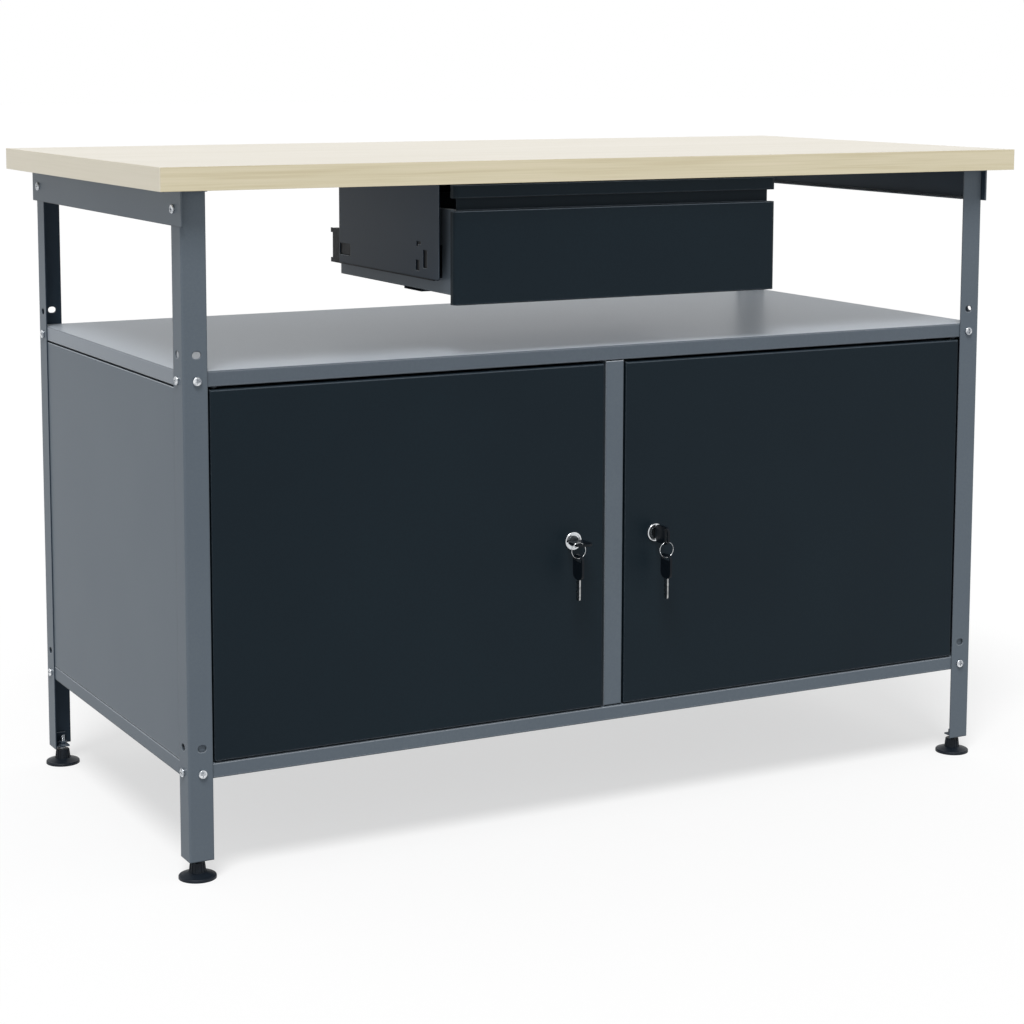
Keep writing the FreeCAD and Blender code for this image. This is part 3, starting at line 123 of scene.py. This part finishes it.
def powder_coat(name, main, shade, bend, painted_fold_shade, roughness, specular, painted_inner_shade=None, level=None):
    """Polyester powder coat baked on sheet steel.
    A soft sheen with a fine orange peel, and a tone that drifts a little over each panel. The bends that
    turn up or to the front are painted the pale bend colour, a painted highlight where they would catch the
    light, and those that turn down are painted darker, painted shade under the bend. Where an inner colour
    is given, faces that look in towards the middle of the bench take it: painted shade for the dim space
    within the frame. Where level is given, level faces have that paler colour, painted light for the shine
    they show at a low angle, and the coat has a real sheen, a bloom that shows at a low angle."""
    peel_width = 3.0 * MM  # real peel is 1 to 2 mm across; drawn coarser so that it shows
    peel_height = 0.12 * MM
    peel_strength = 0.25
    smoother, rougher = 0.05, 0.06  # how far the roughness strays to each side
    drift_width = 180 * MM
    bend_radius = 1.9 * MM
    highlight_from, highlight_full = 0.04, 0.22  # the turn where the pale line starts, and where it is full
    shade_from, shade_full = -0.06, -0.3  # the same for the dark line
    level_from = 0.9  # the upward share of the normal from which a face counts as level
    material, tree, output = new_finish(name)
    point = surface_point(tree)
    drift = add(tree, "ShaderNodeTexNoise", {"Vector": point, "Scale": 1 / drift_width, "Detail": 2.0})
    speck = add(tree, "ShaderNodeTexNoise", {"Vector": point, "Scale": 1 / peel_width, "Detail": 3.0})
    blend = add(
        tree, "ShaderNodeMath", {0: drift.outputs[0], 1: speck.outputs[0]}, operation="MULTIPLY"
    )
    tone = add(tree, "ShaderNodeValToRGB", {"Fac": blend.outputs[0]})
    tone.color_ramp.elements[0].position = 0.1
    tone.color_ramp.elements[0].color = linear(shade)
    tone.color_ramp.elements[1].position = 0.42
    tone.color_ramp.elements[1].color = linear(main)
    colour = tone.outputs[0]
    # Painted shade: faces that look in towards the middle of the bench take the darker inner colour.
    if painted_inner_shade:
        colour = add(
            tree, "ShaderNodeMix",
            {0: inner_faces(tree), 6: colour, 7: linear(painted_inner_shade)}, data_type="RGBA",
        ).outputs[2]
    # Painted light: level faces take the paler level colour, for the shine they show at a low angle.
    if level:
        facing = add(tree, "ShaderNodeSeparateXYZ", {0: add(tree, "ShaderNodeTexCoord").outputs["Normal"]})
        painted_top_light_mask = add(
            tree, "ShaderNodeMath", {0: facing.outputs["Z"], 1: level_from}, operation="GREATER_THAN"
        )
        colour = add(
            tree, "ShaderNodeMix", {0: painted_top_light_mask.outputs[0], 6: colour, 7: linear(level)}, data_type="RGBA"
        ).outputs[2]
    edge = add(tree, "ShaderNodeBevel", {"Radius": bend_radius}, samples=6)
    turn = bend_turn(tree, edge.outputs[0])
    # Painted highlight: bends that turn up or to the front take the pale bend colour, where they would catch
    # the light.
    up = add(tree, "ShaderNodeMapRange", {"Value": turn, "From Min": highlight_from, "From Max": highlight_full})
    # Painted shade: bends that turn down take the darker colour, as if in the shadow under the bend.
    down = add(tree, "ShaderNodeMapRange", {"Value": turn, "From Min": shade_from, "From Max": shade_full})
    highlighted = add(
        tree, "ShaderNodeMix", {0: up.outputs[0], 6: colour, 7: linear(bend)}, data_type="RGBA"
    )
    shade_mixed = add(
        tree, "ShaderNodeMix", {0: down.outputs[0], 6: highlighted.outputs[2], 7: linear(painted_fold_shade)}, data_type="RGBA"
    )
    peel = add(
        tree, "ShaderNodeBump",
        {
            "Height": speck.outputs[0], "Strength": peel_strength, "Distance": peel_height,
            "Normal": edge.outputs[0],
        },
    )
    gloss = add(
        tree, "ShaderNodeMapRange",
        {"Value": speck.outputs[0], "To Min": roughness - smoother, "To Max": roughness + rougher},
    )
    shader = add(
        tree, "ShaderNodeBsdfPrincipled",
        {
            "Base Color": shade_mixed.outputs[2], "Roughness": gloss.outputs[0], "Normal": peel.outputs[0],
            "Specular IOR Level": specular, "IOR": 1.5,
        },
    )
    if level:
        shader.inputs["Sheen Weight"].default_value = 1.0
        shader.inputs["Sheen Roughness"].default_value = 0.3
        shader.inputs["Sheen Tint"].default_value = linear("#E6EEF8")
    tree.links.new(shader.outputs[0], output.inputs[0])
    return material


def maple_print(name, pale, mid, dark, grain_width, roughness, ends=None, painted_corner_highlight=None):
    """Melamine paper printed as maple, pressed on board or glued on as an edge strip.
    Long pale fibres run along each strip, under a satin film with a faint pressed pore. The strips on the
    two ends take a paler, less yellow colour, painted light for the different light on the sides, and their
    front corners a paler line: the strip's cut edge, and a painted highlight where the rounded corner catches
    the light."""
    grain_length = 160 * MM
    cloud_width = 60 * MM
    cloud_length = 700 * MM
    cloud_share = 0.35
    pore_depth = 0.1 * MM
    arris = 0.8 * MM  # radius of the eased edge
    sideways_from = 0.7  # the sideways share of the normal from which a face belongs to an end
    end_light_share = 0.7
    corner_highlight_width = 3.0 * MM  # about three times a real strip's edge, so that the painted highlight on the corner shows
    material, tree, output = new_finish(name)
    where = add(tree, "ShaderNodeTexCoord")
    spot = add(tree, "ShaderNodeSeparateXYZ", {0: where.outputs["Object"]})
    facing = add(tree, "ShaderNodeSeparateXYZ", {0: where.outputs["Normal"]})
    sideways = add(tree, "ShaderNodeMath", {0: facing.outputs["X"]}, operation="ABSOLUTE")
    on_end = add(tree, "ShaderNodeMath", {0: sideways.outputs[0], 1: sideways_from}, operation="GREATER_THAN")
    turned = add(
        tree, "ShaderNodeCombineXYZ",
        {0: spot.outputs["Y"], 1: spot.outputs["X"], 2: spot.outputs["Z"]},
    )
    along = add(
        tree, "ShaderNodeMix",
        {0: on_end.outputs[0], 4: where.outputs["Object"], 5: turned.outputs[0]},
        data_type="VECTOR",
    )
    fibre_point = add(
        tree, "ShaderNodeMapping",
        {"Vector": along.outputs[1], "Scale": (1 / grain_length, 1 / grain_width, 1 / grain_width)},
    )
    cloud_point = add(
        tree, "ShaderNodeMapping",
        {"Vector": along.outputs[1], "Scale": (1 / cloud_length, 1 / cloud_width, 1 / cloud_width)},
    )
    fibre = add(
        tree, "ShaderNodeTexNoise",
        {"Vector": fibre_point.outputs[0], "Scale": 1.0, "Detail": 4.0, "Distortion": 0.15},
    )
    cloud = add(
        tree, "ShaderNodeTexNoise",
        {"Vector": cloud_point.outputs[0], "Scale": 1.0, "Detail": 2.0},
    )
    mixed = add(
        tree, "ShaderNodeMix", {0: cloud_share, 2: fibre.outputs[0], 3: cloud.outputs[0]}
    )
    tone = add(tree, "ShaderNodeValToRGB", {"Fac": mixed.outputs[0]})
    ramp = tone.color_ramp
    ramp.elements[0].position = 0.34
    ramp.elements[0].color = linear(dark)
    ramp.elements[1].position = 0.66
    ramp.elements[1].color = linear(pale)
    ramp.elements.new(0.5).color = linear(mid)
    colour = tone.outputs[0]
    # Painted light: the end faces take the paler ends colour, for the different light on the sides of the
    # board.
    if ends:
        end_light_mask = add(tree, "ShaderNodeMath", {0: on_end.outputs[0], 1: end_light_share}, operation="MULTIPLY")
        end_lit = add(
            tree, "ShaderNodeMix", {0: end_light_mask.outputs[0], 6: colour, 7: linear(ends)}, data_type="RGBA"
        )
        # Painted highlight: a paler line down the front corners of the end strips, at the strip's cut edge
        # where the rounded corner catches the light.
        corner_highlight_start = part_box("worktop_edge_bands")[0].y + corner_highlight_width
        near_front = add(
            tree, "ShaderNodeMath", {0: spot.outputs["Y"], 1: corner_highlight_start}, operation="LESS_THAN"
        )
        at_corner_highlight = add(
            tree, "ShaderNodeMath", {0: near_front.outputs[0], 1: on_end.outputs[0]}, operation="MULTIPLY"
        )
        colour = add(
            tree, "ShaderNodeMix",
            {0: at_corner_highlight.outputs[0], 6: end_lit.outputs[2], 7: linear(painted_corner_highlight)}, data_type="RGBA",
        ).outputs[2]
    edge = add(tree, "ShaderNodeBevel", {"Radius": arris}, samples=4)
    pore = add(
        tree, "ShaderNodeBump",
        {
            "Height": fibre.outputs[0], "Strength": 0.15, "Distance": pore_depth,
            "Normal": edge.outputs[0],
        },
    )
    shader = add(
        tree, "ShaderNodeBsdfPrincipled",
        {
            "Base Color": colour, "Roughness": roughness, "Normal": pore.outputs[0],
            "Specular IOR Level": 0.45, "IOR": 1.5,
        },
    )
    tree.links.new(shader.outputs[0], output.inputs[0])
    return material


def plated_metal(name, pale, dull, roughness, patch_width, drawn=(1.0, 1.0, 1.0), bare=1.0, specular=0.5):
    """Steel or brass under a plating.
    Mirror-like in patches, duller where the bath left it, with fine marks along the way it was worked.
    A dark passivated film hides part of the metal, which is what a lower share of bare metal gives."""
    mark_width = 0.8 * MM
    mark_depth = 0.03 * MM
    arris = 0.25 * MM
    duller = 1.35  # roughness of the dull patches, as a share of the given one
    brighter = 0.7
    material, tree, output = new_finish(name)
    patches = add(
        tree, "ShaderNodeTexNoise",
        {"Vector": surface_point(tree), "Scale": 1 / patch_width, "Detail": 3.0},
    )
    marks = add(
        tree, "ShaderNodeTexNoise",
        {"Vector": surface_point(tree, drawn), "Scale": 1 / mark_width, "Detail": 2.0},
    )
    tone = add(tree, "ShaderNodeValToRGB", {"Fac": patches.outputs[0]})
    tone.color_ramp.elements[0].position = 0.35
    tone.color_ramp.elements[0].color = linear(dull)
    tone.color_ramp.elements[1].position = 0.65
    tone.color_ramp.elements[1].color = linear(pale)
    gloss = add(
        tree, "ShaderNodeMapRange",
        {"Value": patches.outputs[0], "To Min": roughness * duller, "To Max": roughness * brighter},
    )
    edge = add(tree, "ShaderNodeBevel", {"Radius": arris}, samples=4)
    relief = add(
        tree, "ShaderNodeBump",
        {
            "Height": marks.outputs[0], "Strength": 0.12, "Distance": mark_depth,
            "Normal": edge.outputs[0],
        },
    )
    shader = add(
        tree, "ShaderNodeBsdfPrincipled",
        {
            "Base Color": tone.outputs[0], "Metallic": bare, "Roughness": gloss.outputs[0],
            "Normal": relief.outputs[0], "Specular IOR Level": specular,
        },
    )
    tree.links.new(shader.outputs[0], output.inputs[0])
    return material


def moulded_plastic(name, main, worn, roughness, grain_width, specular):
    """Black plastic moulded in an eroded tool.
    A low sheen broken by a fine even grain, a little greyer on its high spots."""
    grain_depth = 0.05 * MM
    smoother, rougher = 0.06, 0.08  # how far the roughness strays to each side
    arris = 0.4 * MM
    material, tree, output = new_finish(name)
    point = surface_point(tree)
    grain = add(tree, "ShaderNodeTexNoise", {"Vector": point, "Scale": 1 / grain_width, "Detail": 2.0})
    tone = add(tree, "ShaderNodeValToRGB", {"Fac": grain.outputs[0]})
    tone.color_ramp.elements[0].position = 0.4
    tone.color_ramp.elements[0].color = linear(main)
    tone.color_ramp.elements[1].position = 0.7
    tone.color_ramp.elements[1].color = linear(worn)
    gloss = add(
        tree, "ShaderNodeMapRange",
        {"Value": grain.outputs[0], "To Min": roughness - smoother, "To Max": roughness + rougher},
    )
    edge = add(tree, "ShaderNodeBevel", {"Radius": arris}, samples=4)
    relief = add(
        tree, "ShaderNodeBump",
        {
            "Height": grain.outputs[0], "Strength": 0.3, "Distance": grain_depth,
            "Normal": edge.outputs[0],
        },
    )
    shader = add(
        tree, "ShaderNodeBsdfPrincipled",
        {
            "Base Color": tone.outputs[0], "Roughness": gloss.outputs[0], "Normal": relief.outputs[0],
            "Specular IOR Level": specular, "IOR": 1.53,
        },
    )
    tree.links.new(shader.outputs[0], output.inputs[0])
    return material


# Each coat gives its main and shade tones, then its bend colour, a painted highlight on the bends that turn
# up, then the darker colour that is painted shade under the bends that turn down, then roughness and
# specular.
BLUE_GREY_COAT = powder_coat(
    "blue_grey_powder_coat", "#67717A", "#626C76", "#BCC3CA", "#333B44", 0.38, 0.1
)
# The frame's coat has painted shade on the faces that look in towards the middle of the bench.
FRAME_COAT_WITH_PAINTED_SHADE = powder_coat(
    "blue_grey_frame_coat_painted_shade", "#67717A", "#626C76", "#8B9199", "#454E58", 0.38, 0.1, painted_inner_shade="#33404D"
)
# The shelf's coat is a lit copy of the blue-grey: its level faces are painted paler, painted light, and its
# main tone is a little darker, painted shade that offsets the sheen on its lips.
SHELF_COAT_WITH_PAINTED_LIGHT = powder_coat(
    "blue_grey_shelf_coat_painted_light", "#5E6872", "#59636D", "#8B9199", "#454E58", 0.32, 0.22, level="#AFB8C2"
)
ANTHRACITE_COAT = powder_coat(
    "anthracite_powder_coat", "#15222A", "#121E26", "#6A747E", "#0B1117", 0.46, 0.12
)
HANGER_COAT = powder_coat(
    "dark_grey_powder_coat", "#2D3A48", "#283543", "#828B94", "#141A21", 0.42, 0.12
)
MAPLE_BOARD = maple_print("maple_melamine_board", "#DED7C8", "#D8D1C0", "#D1C9B5", 4.0 * MM, 0.3)
# The edge strip's ends colour is painted light on the end faces, and its corner colour a painted highlight on
# the front corners.
MAPLE_STRIP = maple_print(
    "maple_edge_strip", "#EADFC3", "#E4DABB", "#D9CDAB", 2.6 * MM, 0.42, ends="#E4DECF", painted_corner_highlight="#F0E8D3"
)
ZINC_PLATE = plated_metal("bright_zinc_plated_steel", "#E4E7EA", "#8E949B", 0.26, 5 * MM)
BLACK_ZINC = plated_metal(
    "black_zinc_plated_steel", "#1B1F24", "#101317", 0.4, 6 * MM, bare=0.25, specular=0.05
)
CHROME_PLATE = plated_metal("chrome_plated_zinc_alloy", "#DDE0E3", "#C9CDD1", 0.12, 14 * MM)
NICKEL_PLATE = plated_metal(
    "nickel_plated_brass", "#B4B5B5", "#8F9091", 0.24, 4 * MM, (1.0, 1.0, 0.08)
)
RING_STEEL = plated_metal("nickel_plated_spring_steel", "#F0F2F4", "#A6AAAE", 0.16, 4 * MM)
# Painted reflection: the lock plugs are a darker chrome, standing for the dark key bow and its shadow that
# they mirror.
CHROME_WITH_PAINTED_REFLECTION = plated_metal("chrome_plated_brass_painted_reflection", "#777D81", "#4F5559", 0.22, 6 * MM)
BLACK_POLYAMIDE = moulded_plastic("black_polyamide", "#10171E", "#18202A", 0.46, 1.6 * MM, 0.2)
BLACK_ABS = moulded_plastic("black_abs", "#0B1117", "#11181F", 0.34, 1.0 * MM, 0.15)

SLOT_FINISH = {
    "laminate": MAPLE_BOARD,
    "edge_band": MAPLE_STRIP,
    "grey_paint": BLUE_GREY_COAT,
    "dark_paint": ANTHRACITE_COAT,
    "zinc_steel": ZINC_PLATE,
    "black_zinc": BLACK_ZINC,
    "chrome": CHROME_PLATE,
    "key_steel": NICKEL_PLATE,
    "black_plastic": BLACK_POLYAMIDE,
}
NODE_FINISH = {
    "leg_front_left": FRAME_COAT_WITH_PAINTED_SHADE,
    "leg_front_right": FRAME_COAT_WITH_PAINTED_SHADE,
    "leg_rear_left": FRAME_COAT_WITH_PAINTED_SHADE,
    "leg_rear_right": FRAME_COAT_WITH_PAINTED_SHADE,
    "side_rail_left": FRAME_COAT_WITH_PAINTED_SHADE,
    "side_rail_right": FRAME_COAT_WITH_PAINTED_SHADE,
    "cabinet_shelf": SHELF_COAT_WITH_PAINTED_LIGHT,
    "drawer_hanger_left": HANGER_COAT,
    "drawer_hanger_right": HANGER_COAT,
    "foot_brackets": HANGER_COAT,
    "lock_plug_left": CHROME_WITH_PAINTED_REFLECTION,
    "lock_plug_right": CHROME_WITH_PAINTED_REFLECTION,
    "key_bows_left": BLACK_ABS,
    "key_bows_right": BLACK_ABS,
}

for node_name, node_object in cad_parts.items():
    for material_slot in node_object.material_slots:
        usual = SLOT_FINISH[material_slot.material.name.split(".")[0]]
        material_slot.material = NODE_FINISH.get(node_name, usual)


# Pieces

CORNERS = ("front_left", "front_right", "rear_left", "rear_right")


def new_piece(name, mesh, body, material, place=(0.0, 0.0, 0.0)):
    """Link a mesh as a named piece on a body, at its place and with its finish."""
    piece = bpy.data.objects.new(name, mesh)
    bpy.context.scene.collection.objects.link(piece)
    if not mesh.materials:
        mesh.materials.append(material)
    piece.location = place
    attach(piece, body)
    return piece


def closed_mesh(name, shape):
    """The mesh of a closed shape, with every face looking out."""
    bmesh.ops.recalc_face_normals(shape, faces=shape.faces)
    mesh = bpy.data.meshes.new(name)
    shape.to_mesh(mesh)
    shape.free()
    return mesh


def tube_mesh(name, points, radius, sides):
    """A round wire along a list of points, with flat ends."""
    shape = bmesh.new()
    rings = []
    count = len(points)
    for i, here in enumerate(points):
        ahead = points[min(i + 1, count - 1)] - points[max(i - 1, 0)]
        ahead.normalize()
        across = ahead.orthogonal() if i == 0 else across - ahead * across.dot(ahead)
        across.normalize()
        beside = ahead.cross(across)
        rings.append([
            shape.verts.new(
                here + (across * math.cos(turn) + beside * math.sin(turn)) * radius
            )
            for turn in (2 * math.pi * k / sides for k in range(sides))
        ])
    for low, high in zip(rings, rings[1:]):
        for k in range(sides):
            nxt = (k + 1) % sides
            shape.faces.new((low[k], low[nxt], high[nxt], high[k]))
    shape.faces.new(list(reversed(rings[0])))
    shape.faces.new(rings[-1])
    mesh = closed_mesh(name, shape)
    mesh.shade_smooth()
    return mesh


def split_ring(side_name):
    """A key ring of spring wire wound twice, with its ends cut square."""
    node = "key_ring_" + side_name
    low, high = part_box(node)
    middle = (low + high) / 2
    wire = (high.y - low.y) / 4  # radius of the wire, so that two coils fill the depth
    reach = (high.x - low.x) / 2 - wire
    steps = 160
    wire_sides = 10
    turns = 1.94
    first_end = math.radians(200)
    points = []
    for i in range(steps + 1):
        share = i / steps
        turn = first_end + 2 * math.pi * turns * share
        offset = (share - 0.5) * 2 * wire
        points.append(middle + Vector((reach * math.cos(turn), offset, reach * math.sin(turn))))
    mesh = tube_mesh("split_ring_" + side_name, points, wire, wire_sides)
    piece = new_piece("split_ring_" + side_name, mesh, "plug_" + side_name, RING_STEEL)
    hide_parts(node)


def thread_mesh(name, low, high, crest, pitch, depth):
    """A rolled metric thread from low to high on the Z axis, with chamfered ends."""
    around = 24
    rows_per_turn = 8
    flank_slope = 1.25  # above 1, which leaves a flat on the crest and at the root
    flat_share = 0.125
    rows = int(round((high - low) / pitch * rows_per_turn))
    shape = bmesh.new()
    grid = []
    for j in range(rows + 1):
        z = low + (high - low) * j / rows
        row = []
        for k in range(around):
            share = k / around
            phase = ((z - low) / pitch - share) % 1.0
            valley = abs(2 * phase - 1)
            radius = crest - depth * min(1.0, max(0.0, flank_slope * valley - flat_share))
            ease = min(z - low, high - z)
            radius = min(radius, crest - depth + ease)
            row.append(shape.verts.new((
                radius * math.cos(2 * math.pi * share), radius * math.sin(2 * math.pi * share), z
            )))
        grid.append(row)
    for below, above in zip(grid, grid[1:]):
        for k in range(around):
            nxt = (k + 1) % around
            shape.faces.new((below[k], below[nxt], above[nxt], above[k]))
    shape.faces.new(list(reversed(grid[0])))
    shape.faces.new(grid[-1])
    mesh = closed_mesh(name, shape)
    mesh.shade_smooth()
    return mesh


def foot_studs():
    """The M6 studs of the four feet, with their thread."""
    pitch = 1.0 * MM
    depth = 0.5 * MM
    mesh = None
    for corner in CORNERS:
        node = "foot_screw_" + corner
        low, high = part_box(node)
        if mesh is None:
            mesh = thread_mesh("foot_stud", low.z, high.z, (high.x - low.x) / 2, pitch, depth)
        piece = new_piece(
            "foot_stud_" + corner, mesh, "foot_" + corner, ZINC_PLATE,
            ((low.x + high.x) / 2, (low.y + high.y) / 2, 0.0),
        )
        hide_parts(node)


def neck_ribs():
    """Upright ribs moulded round the tapered neck of each foot."""
    count = 14
    half_width = 0.55 * MM
    sunk = 0.4 * MM
    proud = 0.7 * MM
    crown = 0.7  # width of a rib's crown, as a share of its root
    neck_ends = ((7.2 * MM, 9.6 * MM), (18.8 * MM, 8.2 * MM))  # height and radius, low and high
    shape = bmesh.new()
    for k in range(count):
        turn = 2 * math.pi * k / count
        outward = Vector((math.cos(turn), math.sin(turn), 0))
        beside = Vector((-math.sin(turn), math.cos(turn), 0))
        ends = []
        for z, radius in neck_ends:
            ends.append([
                shape.verts.new(outward * reach + beside * across + Vector((0, 0, z)))
                for reach, across in (
                    (radius - sunk, -half_width), (radius + proud, -half_width * crown),
                    (radius + proud, half_width * crown), (radius - sunk, half_width),
                )
            ])
        low_end, high_end = ends
        shape.faces.new(list(reversed(low_end)))
        shape.faces.new(high_end)
        for i in range(4):
            nxt = (i + 1) % 4
            shape.faces.new((low_end[i], low_end[nxt], high_end[nxt], high_end[i]))
    mesh = closed_mesh("neck_ribs", shape)
    for corner in CORNERS:
        low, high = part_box("foot_" + corner)
        new_piece(
            "neck_ribs_" + corner, mesh, "foot_" + corner, BLACK_POLYAMIDE,
            ((low.x + high.x) / 2, (low.y + high.y) / 2, low.z),
        )


for side_name in ("left", "right"):
    split_ring(side_name)
foot_studs()
neck_ribs()


# Floor, light and camera

def seen_directly(tree):
    """1 for what the camera sees, straight or in metal or through glass, and 0 for light on the object."""
    path = add(tree, "ShaderNodeLightPath")
    seen = add(
        tree, "ShaderNodeMath",
        {0: path.outputs["Is Camera Ray"], 1: path.outputs["Is Glossy Ray"]}, operation="MAXIMUM",
    )
    return add(
        tree, "ShaderNodeMath",
        {0: seen.outputs[0], 1: path.outputs["Is Transmission Ray"]}, operation="MAXIMUM",
    ).outputs[0]


def white_floor():
    """A wide pale floor that keeps a faint shadow of the bench."""
    reach = 40.0
    whiteness = 0.62
    material, tree, output = new_finish("pale_studio_floor")
    seen = seen_directly(tree)
    tone = add(
        tree, "ShaderNodeMix", {0: seen, 6: linear("#D0D0D0"), 7: linear("#FFFFFF")}, data_type="RGBA"
    )
    matt = add(tree, "ShaderNodeBsdfDiffuse", {"Color": tone.outputs[2]})
    white = add(tree, "ShaderNodeEmission", {"Color": linear("#FFFFFF"), "Strength": 1.0})
    lift = add(tree, "ShaderNodeMath", {0: seen, 1: whiteness}, operation="MULTIPLY")
    both = add(
        tree, "ShaderNodeMixShader", {0: lift.outputs[0], 1: matt.outputs[0], 2: white.outputs[0]}
    )
    tree.links.new(both.outputs[0], output.inputs[0])
    shape = bmesh.new()
    bmesh.ops.create_grid(shape, x_segments=4, y_segments=4, size=reach)
    mesh = bpy.data.meshes.new("studio_floor")
    shape.to_mesh(mesh)
    shape.free()
    mesh.materials.append(material)
    floor = bpy.data.objects.new("studio_floor", mesh)
    bpy.context.scene.collection.objects.link(floor)


def studio_light():
    """Even light from a white room, and one broad lamp high in front on the left."""
    world = bpy.data.worlds.new("white_room")
    bpy.context.scene.world = world
    world.use_nodes = True
    tree = world.node_tree
    tree.nodes.clear()
    room = add(tree, "ShaderNodeBackground", {"Color": linear("#FFFFFF"), "Strength": 0.44})
    backdrop = add(tree, "ShaderNodeBackground", {"Color": linear("#FFFFFF"), "Strength": 1.0})
    mixed = add(
        tree, "ShaderNodeMixShader",
        {0: seen_directly(tree), 1: room.outputs[0], 2: backdrop.outputs[0]},
    )
    output = add(tree, "ShaderNodeOutputWorld", {0: mixed.outputs[0]})
    output.is_active_output = True
    lamp = bpy.data.lights.new("key_lamp", "SUN")
    lamp.energy = 2.15
    lamp.angle = math.radians(22)
    holder = bpy.data.objects.new("key_lamp", lamp)
    bpy.context.scene.collection.objects.link(holder)
    toward = Vector((0.33, 0.45, -1.0))
    holder.rotation_euler = toward.to_track_quat("-Z", "Y").to_euler()


def photo_camera():
    """A long lens in front of the left end, a little above the worktop."""
    eye = Vector((-1.4961, -2.8151, 0.9574))
    yaw = math.radians(28.013)
    pitch = math.radians(7.264)
    roll = math.radians(0.129)
    lens = bpy.data.cameras.new("photo_camera")
    lens.sensor_width = 36.0
    lens.lens = 84.02
    lens.shift_x = -0.0014
    lens.shift_y = -0.15
    camera = bpy.data.objects.new("photo_camera", lens)
    bpy.context.scene.collection.objects.link(camera)
    turn = (
        Matrix.Rotation(-yaw, 4, "Z")
        @ Matrix.Rotation(math.pi / 2 - pitch, 4, "X")
        @ Matrix.Rotation(roll, 4, "Z")
    )
    camera.matrix_world = Matrix.Translation(eye) @ turn
    bpy.context.scene.camera = camera


white_floor()
studio_light()
photo_camera()
bpy.context.scene.view_settings.view_transform = "Standard"
